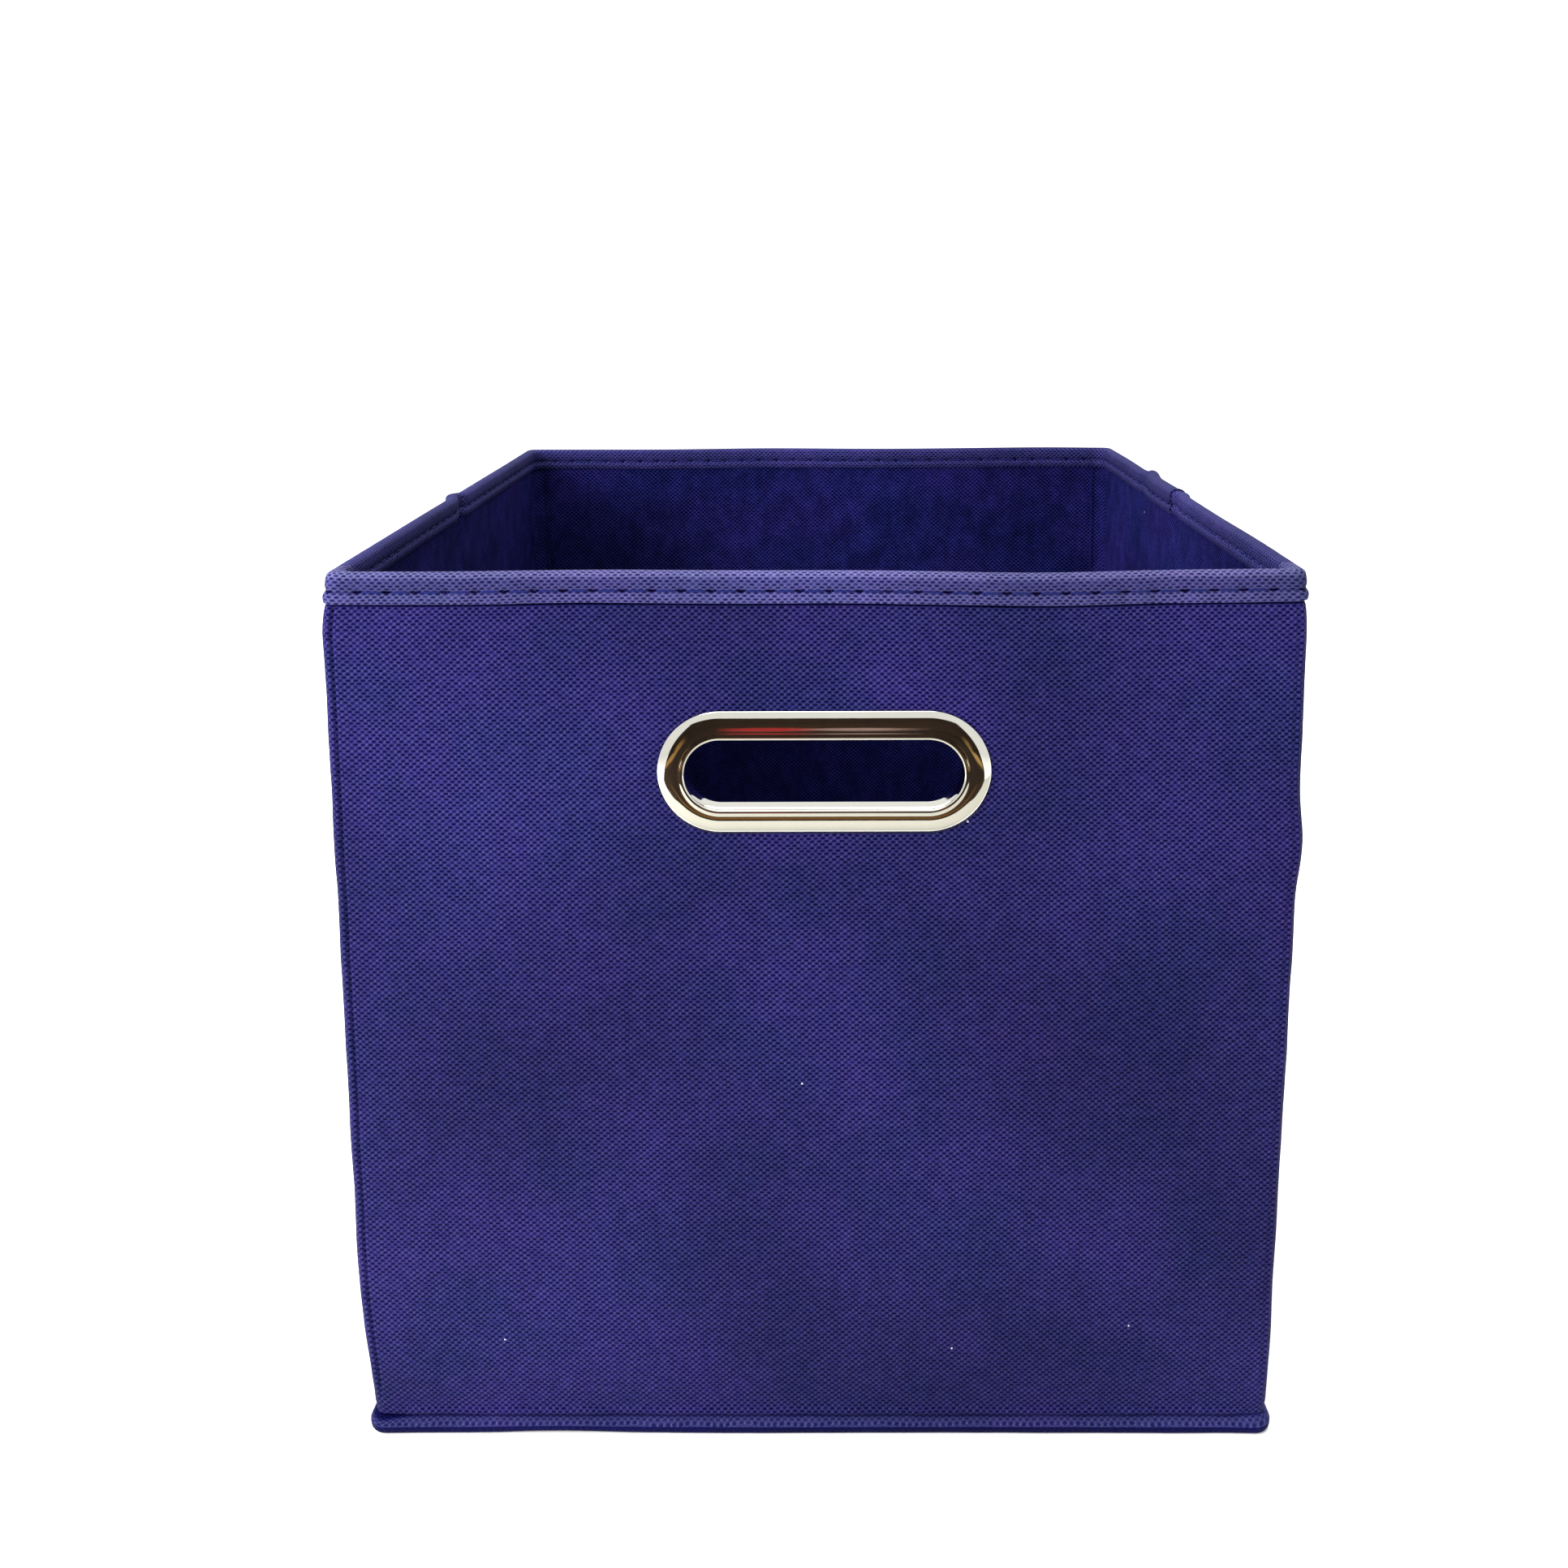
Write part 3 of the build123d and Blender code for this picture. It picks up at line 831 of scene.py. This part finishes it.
def tape(name, low, high, rows, material, lift=None):
    """Binding folded over the rim, sewn through below its turn."""
    distance = lines(low, high, 0.75 * MM)
    holes = needle_holes(distance, rows)
    raised = np.zeros((len(distance), 1)) if lift is None else lift(distance)[:, None]
    faces = []
    for thickness in (0.0, TAPE_THICK):
        offsets, heights = tape_profile(distance, holes, raised, thickness)
        faces.append(lay(distance[:, None], -offsets, heights))
    gaps = np.linalg.norm(np.diff(faces[0], axis=1), axis=2).mean(0)
    across = np.concatenate([[0], np.cumsum(gaps)])
    first_hole = stitch_centres(*rows[0])[0] - STITCH_PITCH / 2
    uv = np.stack(np.meshgrid(distance - first_hole, across, indexing="ij"), -1)
    piece = thick_sheet(name, *faces, uv, material)
    return piece


def rim_binding(panel):
    """The binding of one panel."""
    low, high, bodies, bend, _ = PANELS[panel]
    material = LIT_FRONT_BINDING if panel == "front" else SIDE_BINDING
    piece = tape(f"{panel}_binding_tape", low, high, [ROWS[panel]], material)
    attach(piece, bodies)
    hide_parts(f"{panel}_rim_binding")


STITCH_SIDES = 8
STITCH_STEPS = 15
THREAD_WIDE = 0.42 * MM  # half the breadth of a stitch on the tape's face
THREAD_THICK = 0.26 * MM  # half its thickness, off that face
THREAD_END = 0.35  # a stitch narrows to this share at its ends


def stitches(name, rows, body, stands_for, lift=0.0):
    """Rows of single stitches on both faces of the rim, each dipping into its needle holes."""
    along = np.linspace(-0.5, 0.5, STITCH_STEPS)
    ends = 1 - np.abs(2 * along) ** 5
    angle = np.arange(STITCH_SIDES) * 2 * math.pi / STITCH_SIDES
    random = np.random.default_rng(51)
    tubes = []
    for low, high in rows:
        for centre in stitch_centres(low, high):
            for outside in (True, False):
                slant = random.normal(0, 0.10) * MM
                size = random.uniform(0.9, 1.1)
                taper = THREAD_END + (1 - THREAD_END) * ends
                wide = THREAD_WIDE * size * taper
                thick = THREAD_THICK * size * taper
                stand = (0.30 + 0.14 * ends - 0.70 * (1 - ends)) * MM + lift
                offset = stand[:, None] + thick[:, None] * np.cos(angle)
                turn = 1 if outside else -1
                height = STITCH_Z + slant * 2 * along[:, None] + wide[:, None] * np.sin(angle) * turn
                inset = -offset if outside else WALL + offset
                place = centre + along[:, None] * STITCH_LENGTH + 0 * offset
                tubes.append(lay(place, inset, height))
    piece = capsules(name, np.array(tubes), THREAD)
    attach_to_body(piece, body)
    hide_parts(stands_for)


def tape_end():
    """The binding's loose end, laid over its start and sewn down, standing off a little where it is cut."""
    low, high = QUARTER + end_low.y, QUARTER + end_high.y

    def lift(distance):
        ends = hump(distance, high, 3.0 * MM) * 0.25 + hump(distance, low, 1.6 * MM) * 0.15
        return (END_LIFT + ends) * MM

    piece = tape("tape_end_fold", low, high, [(low, high)], SIDE_BINDING, lift)
    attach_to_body(piece, "right_rear_wall")
    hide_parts("rim_binding_end")
    stitches("tape_end_thread", [(low, high)], "right_rear_wall", "tape_end_stitching", END_LIFT * MM)


# ---------------------------------------------------------------- base

BAND_SECTION = 28
BAND_WIDTH = 5.3 * MM
BAND_GIRTH = 20.5 * MM
BAND_SQUARENESS = 0.62  # 1 makes its section an ellipse, and less makes it squarer
BAND_LEAN = 1.9 * MM  # its upper face leans back this far, under the cover's hem


def band_corner(distance):
    """1 at the four upright corners, falling off along the walls."""
    corners = [(k + 0.5) * QUARTER for k in (-2, -1, 0, 1)]
    return sum(hump(distance, corner, 9 * MM) for corner in corners)


def base_band():
    """The soft rolled binding round the bottom edge, fuller at its corners."""
    distance = lines(-2 * QUARTER, 2 * QUARTER, 1.0 * MM)
    angle = np.arange(BAND_SECTION) * 2 * math.pi / BAND_SECTION
    d, a = np.meshgrid(distance[:-1], angle, indexing="ij")
    out = np.sign(np.cos(a)) * np.abs(np.cos(a)) ** BAND_SQUARENESS
    rise = np.sign(np.sin(a)) * np.abs(np.sin(a)) ** BAND_SQUARENESS
    full = 1 + 0.05 * ripple(d, 0, 0.03, 0.0, 61)
    corner = band_corner(d)
    middle = BAND_PROUD - BAND_WIDTH / 2
    offset = middle + BAND_WIDTH / 2 * out * full + 0.35 * MM * corner * np.clip(out, 0, 1)
    offset -= BAND_LEAN * np.clip(rise, 0, 1) * np.clip(out, 0, 1) * (1 - 0.7 * hump(d, -QUARTER / 2, 9 * MM))
    lifted = 0.8 * hump(d, -84 * MM, 20 * MM) + 0.25 * ripple(d, 0, 0.07, 0.0, 62)
    slit = 1.3 * hump(d, -QUARTER / 2, 9 * MM) - 0.5 * hump(d, QUARTER / 2, 7 * MM)
    upper = BAND_TOP / 2 * (1 + rise) * full
    height = upper - slit * MM * np.clip(rise, 0, 1)
    height += np.clip(lifted, -0.1, 1) * MM * (1 - step(upper, 0, BAND_TOP))
    points = lay(d, -offset, np.maximum(height, 0))
    girth = BAND_GIRTH * np.arange(BAND_SECTION + 1) / BAND_SECTION
    piece = closed_tube("base_band_roll", points, distance, girth, BAND)
    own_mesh(piece)
    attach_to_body(piece, "back_wall")
    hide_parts("base_binding")


def flat_grid(half_x, half_y, pitch, edge):
    """A level grid of x and y, with closer lines along its edges."""
    xs = lines(-half_x, half_x, pitch, (-half_x, -half_x + edge, 0.8 * MM), (half_x - edge, half_x, 0.8 * MM))
    ys = lines(-half_y, half_y, pitch, (-half_y, -half_y + edge, 0.8 * MM), (half_y - edge, half_y, 0.8 * MM))
    return np.meshgrid(xs, ys, indexing="ij")


def level_sheet(name, x, y, top, bottom, material):
    """A closed level sheet between two heights."""
    uv = np.stack([x, y], -1)
    return thick_sheet(name, np.stack([x, y, top], -1), np.stack([x, y, bottom], -1), uv, material)


def base_cloth():
    """The cloth floor, a little slack between its seams."""
    low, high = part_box("base_cloth")
    half = high.x + 0.5 * MM
    x, y = flat_grid(half, half, 3 * MM, 6 * MM)
    edge = step(np.minimum(half - np.abs(x), half - np.abs(y)), 0, 12 * MM)
    slack = np.clip(0.14 + 0.10 * ripple(x, y, 0.03, 0.8, 71), 0, 0.3) * edge * MM
    piece = level_sheet("base_floor_cloth", x, y, high.z + slack, low.z + slack, BASE)
    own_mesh(piece)
    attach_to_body(piece, "back_wall")
    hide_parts("base_cloth")


def rounded_square(x, y, half, radius):
    """Draw a square grid's corners in to this radius."""
    inner = half - radius
    dx, dy = np.clip(np.abs(x) - inner, 0, None), np.clip(np.abs(y) - inner, 0, None)
    reach = np.maximum(np.maximum(dx, dy), 1e-9)
    share = reach / np.maximum(np.hypot(dx, dy), 1e-9)
    corner = (dx > 0) & (dy > 0)
    share = np.where(corner, share, 1)
    return np.sign(x) * (np.abs(x) - dx + dx * share), np.sign(y) * (np.abs(y) - dy + dy * share)


INSERT_SEAM = 4.6 * MM  # the sleeve's seam runs this far inside its edge


def insert_sheet(x, y, half, side, middle, thick):
    """Heights of the sleeve's outer and inner face, above (1) or below (-1) its middle."""
    edge = np.minimum(half - np.abs(x), half - np.abs(y))
    crown = step(edge, 1.0 * MM, 4.0 * MM)
    seam = 0.22 * MM * hump(edge, INSERT_SEAM, 0.7 * MM)
    soft = 0.16 * MM * ripple(x, y, 0.028, 0.6, 81 + side) * step(edge, 4 * MM, 14 * MM)
    outer = 0.32 * MM + (thick / 2 - 0.32 * MM) * crown + 0.15 * MM * crown + soft - seam
    inner = np.maximum(outer - CLOTH, 0.02 * MM)
    return middle + side * outer, middle + side * inner


def insert():
    """The loose base board in its cloth sleeve, seamed all round."""
    half = insert_high.x
    middle = (insert_low.z + insert_high.z) / 2
    thick = insert_high.z - insert_low.z
    x, y = flat_grid(half, half, 3 * MM, 7 * MM)
    round_x, round_y = rounded_square(x, y, half, 4 * MM)
    uv = np.stack([x, y], -1)
    halves = []
    for side in (1, -1):
        outer, inner = insert_sheet(x, y, half, side, middle, thick)
        faces = [np.stack([round_x, round_y, outer], -1), np.stack([round_x, round_y, inner], -1)]
        if side < 0:
            faces.reverse()
        halves.append(thick_sheet(f"insert_half_{side}", *faces, uv, INSERT))
    piece = joined("insert_sleeve", halves)
    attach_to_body(piece, "base_insert")
    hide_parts("insert_cover")
    low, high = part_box("insert_board")
    xs, ys = flat_grid(half - INSERT_SEAM - 1 * MM, half - INSERT_SEAM - 1 * MM, 12 * MM, 4 * MM)
    level = middle + 0 * xs
    board_half = (high.z - low.z) / 2 - 0.1 * MM
    board = level_sheet("insert_board_card", xs, ys, level + board_half, level - board_half, CARD)
    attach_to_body(board, "base_insert")
    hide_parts("insert_board")


def joined(name, parts):
    """One object from several, under a new name."""
    bpy.ops.object.select_all(action="DESELECT")
    for part in parts:
        part.select_set(True)
    bpy.context.view_layer.objects.active = parts[0]
    bpy.ops.object.join()
    parts[0].name = name
    parts[0].data.name = name
    return parts[0]


# ---------------------------------------------------------------- grommet


def smooth_curve(points, per_span=7):
    """A Catmull-Rom curve through points."""
    p = np.array(points, float)
    p = np.concatenate([[2 * p[0] - p[1]], p, [2 * p[-1] - p[-2]]])
    t = np.linspace(0, 1, per_span, endpoint=False)[:, None]
    spans = []
    for a, b, c, d in zip(p, p[1:], p[2:], p[3:]):
        square, cube = 2 * a - 5 * b + 4 * c - d, 3 * b - a - 3 * c + d
        spans.append(0.5 * (2 * b + (c - a) * t + square * t**2 + cube * t**3))
    return np.concatenate([*spans, p[-2:-1]])


def oval(profile, name, straights=36, bends=72):
    """Carry a closed profile of (distance out, distance in front of the cover) round the opening."""
    half_turn = np.linspace(-math.pi / 2, math.pi / 2, bends, endpoint=False)
    run = np.linspace(-1, 1, straights, endpoint=False)
    right = [(OPENING_STRAIGHT, angle) for angle in half_turn]
    top = [(-OPENING_STRAIGHT * share, math.pi / 2) for share in run]
    left = [(-OPENING_STRAIGHT, angle + math.pi) for angle in half_turn]
    bottom = [(OPENING_STRAIGHT * share, -math.pi / 2) for share in run]
    path = np.array(right + top + left + bottom)
    centre, angle = path[:, :1], path[:, 1:]
    radius = OPENING_RADIUS + profile[None, :, 0]
    x = GROMMET_X + centre + radius * np.cos(angle)
    z = GROMMET_Z + radius * np.sin(angle)
    rest = np.array([GROMMET_X, -HALF, GROMMET_Z])
    forward = settle(rest)[1] - rest[1]
    y = -HALF + forward - profile[None, :, 1] + 0 * x
    steps = np.linalg.norm(np.diff(np.stack([x, z], -1)[:, 0], axis=0), axis=1)
    u = np.concatenate([[0], np.cumsum(steps), [steps.sum() + steps[-1]]])
    v = np.concatenate([[0], np.cumsum(np.linalg.norm(np.diff(profile, axis=0), axis=1)), [0.04]])
    piece = closed_tube(name, np.stack([x, y, z], -1), u, v, CHROME, flip=True)
    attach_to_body(piece, "front_wall")
    return piece


def grommet():
    """The domed front ring with its tube and turned end, and the flat ring behind the lining."""
    behind = -(back_ring_high.y + HALF) / MM
    crest = smooth_curve([
        (0.0, -1.2), (0.02, 0.4), (0.15, 1.20), (0.45, 1.85), (0.80, 2.20), (1.10, 2.31), (1.35, 2.32),
        (1.70, 2.22), (2.10, 2.09), (2.50, 2.03), (3.20, 2.005), (3.90, 1.94), (4.70, 1.80), (5.50, 1.62),
        (6.30, 1.36), (7.05, 0.98), (7.75, 0.52), (8.25, 0.12), (8.42, -0.05),
    ], 4)
    under = [(8.25, -0.12), (6.0, -0.14), (1.6, -0.16), (0.85, -0.5), (0.8, -1.5), (0.8, behind + 0.4)]
    lip = smooth_curve([
        (0.82, behind + 0.05), (1.5, behind - 0.03), (2.25, behind - 0.12), (2.4, behind - 0.38),
        (2.1, behind - 0.58), (1.2, behind - 0.60), (0.35, behind - 0.35), (0.03, behind + 0.4),
    ], 4)
    tube = [(0.0, -3.0), (0.0, -2.0)]
    front = np.concatenate([crest, under, lip, tube]) * MM
    ring_front = oval(front, "grommet_front_dome")
    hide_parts("grommet_front_ring")
    wall = -WALL / MM
    width = ((back_ring_high.z - back_ring_low.z) / 2 - OPENING_RADIUS) / MM
    washer = smooth_curve([
        (0.9, wall - 0.5), (1.2, wall - 0.95), (3.5, wall - 1.12), (width - 1.0, wall - 0.9),
        (width, wall - 0.35), (width - 0.4, wall - 0.03), (3.5, wall - 0.05), (1.2, wall - 0.06),
    ], 5) * MM
    ring_back = oval(washer, "grommet_back_washer")
    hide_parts("grommet_back_ring")


# ---------------------------------------------------------------- studio and camera

# Camera, found by lining up the rim and base corners with the photograph's viewing angle
CAMERA_PLACE = (0.0032, -0.5290, 0.3580)
CAMERA_PITCH = 8.07
CAMERA_YAW = 0.32
CAMERA_ROLL = -0.26
FOCAL_SHARE = 0.8925  # focal length over the picture's width
CAMERA_SHIFT = (-0.0217, -0.2)
SENSOR = 36.0


def camera():
    """The main view."""
    data = bpy.data.cameras.new("main view")
    data.sensor_width = SENSOR
    data.lens = FOCAL_SHARE * SENSOR
    data.shift_x, data.shift_y = CAMERA_SHIFT
    data.dof.use_dof = False
    made = bpy.data.objects.new("main view", data)
    bpy.context.scene.collection.objects.link(made)
    made.location = CAMERA_PLACE
    yaw = Matrix.Rotation(math.radians(CAMERA_YAW), 3, "Z")
    pitch = Matrix.Rotation(math.radians(90 - CAMERA_PITCH), 3, "X")
    roll = Matrix.Rotation(math.radians(CAMERA_ROLL), 3, "Z")
    made.rotation_euler = (yaw @ pitch @ roll).to_euler()
    bpy.context.scene.camera = made


def soft_light(name, place, target, size, power, mirrored=True):
    """A square softbox aimed at a point, which the plating may or may not mirror."""
    data = bpy.data.lights.new(name, "AREA")
    data.shape = "SQUARE"
    data.size = size
    data.energy = power
    made = bpy.data.objects.new(name, data)
    bpy.context.scene.collection.objects.link(made)
    made.location = place
    aim = Vector(target) - Vector(place)
    made.rotation_euler = aim.to_track_quat("-Z", "Y").to_euler()
    made.visible_glossy = mirrored


def floor():
    """A pale round floor."""
    below = (0, 0, -0.02 * MM)
    bpy.ops.mesh.primitive_circle_add(vertices=96, radius=6.0, fill_type="NGON", location=below)
    made = bpy.context.object
    made.name = "studio_floor"
    nodes = Nodes("pale floor")
    place = nodes.add("ShaderNodeTexCoord").outputs["Object"]
    cloudy = nodes.noise(place, 3.0).outputs[0]
    shade = nodes.mix(cloudy, colour(0.955, 0.955, 0.95), colour(0.97, 0.97, 0.965))
    made.data.materials.append(nodes.surface({"Base Color": shade, "Roughness": 0.9}))


# Cards that only reflections see: (half width, y, z) down their length. The grey one lies on the bright floor
# right before the bin. The dark one goes on from it and turns up behind the camera.
GREY_ROWS = ((0.60, -0.16, 0.002), (0.42, -0.43, 0.002))
GREY_SHADES = (colour(0.40, 0.395, 0.36), colour(0.54, 0.53, 0.49))
DARK_ROWS = ((0.42, -0.43, 0.002), (0.75, -0.95, 0.002), (1.05, -1.35, 0.004), (1.05, -1.40, 1.20))
DARK_SHADES = (colour(0.004, 0.003, 0.002), colour(0.035, 0.020, 0.012))

# Warm things standing in the dark, seen only in reflections: (place, half sizes, colour)
DARK_PATCHES = (
    ((-0.062, -1.36, 0.09), (0.075, 0.50, 0.20), colour(0.28, 0.022, 0.022)),
    ((0.040, -1.36, 0.10), (0.080, 0.42, 0.16), colour(0.26, 0.17, 0.155)),
    ((0.0, -0.54, 0.0), (0.30, 0.05, 0.05), colour(0.10, 0.045, 0.012)),
    ((-0.55, -1.10, 0.02), (0.16, 0.45, 0.25), colour(0.32, 0.17, 0.05)),
    ((0.52, -1.05, 0.02), (0.14, 0.45, 0.30), colour(0.36, 0.22, 0.07)),
)


def card(name, rows, dim, bright, patches=()):
    """A card before the bin, mottled between two shades, which only reflections see."""
    corners = [(side * wide, y, z) for wide, y, z in rows for side in (-1, 1)]
    faces = [(k, k + 1, k + 3, k + 2) for k in range(0, len(corners) - 2, 2)]
    mesh = bpy.data.meshes.new(name)
    mesh.from_pydata(corners, [], faces)
    made = bpy.data.objects.new(name, mesh)
    bpy.context.scene.collection.objects.link(made)
    nodes = Nodes(name)
    place = nodes.add("ShaderNodeTexCoord").outputs["Object"]
    shade = nodes.mix(nodes.noise(place, 2.5, 2.0).outputs[0], dim, bright)
    for centre, half_sizes, tint in patches:
        away = nodes.vector("DIVIDE", nodes.vector("SUBTRACT", place, centre), half_sizes)
        length = nodes.add("ShaderNodeVectorMath", {0: away}, operation="LENGTH").outputs["Value"]
        shade = nodes.mix(nodes.fade(length, 0.4, 1.0, 1.0, 0.0), shade, tint)
    matt = nodes.surface({"Base Color": shade, "Roughness": 0.9, "Specular IOR Level": 0.1})
    made.data.materials.append(matt)
    made.visible_camera = False
    made.visible_diffuse = False
    made.visible_shadow = False
    made.visible_transmission = False


WORLD_STRENGTH = 1.3


def studio():
    """White surroundings, a strong soft top light and a key from the left."""
    world = bpy.data.worlds.new("white studio")
    world.use_nodes = True
    background = world.node_tree.nodes["Background"]
    background.inputs["Color"].default_value = colour(1.0, 1.0, 1.0)
    background.inputs["Strength"].default_value = WORLD_STRENGTH
    bpy.context.scene.world = world
    bpy.context.scene.view_settings.view_transform = "Standard"
    soft_light("top softbox", (-0.1, 0.20, 1.3), (0, 0, 0.15), size=1.5, power=30.0)
    left = (-0.64, -0.50, 0.52)
    soft_light("left softbox", left, (-0.10, -0.14, 0.15), size=0.45, power=15.0, mirrored=False)
    floor()
    card("studio_grey_card", GREY_ROWS, *GREY_SHADES)
    card("studio_dark_card", DARK_ROWS, *DARK_SHADES, DARK_PATCHES)


# ---------------------------------------------------------------- build

for wall in PANELS:
    wall_skins(wall)
    wall_board(wall)
    rim_binding(wall)
    stitches(f"{wall}_rim_thread", [ROWS[wall]], f"{wall}_wall", f"{wall}_rim_stitching")
tape_end()
base_band()
base_cloth()
insert()
grommet()
studio()
camera()
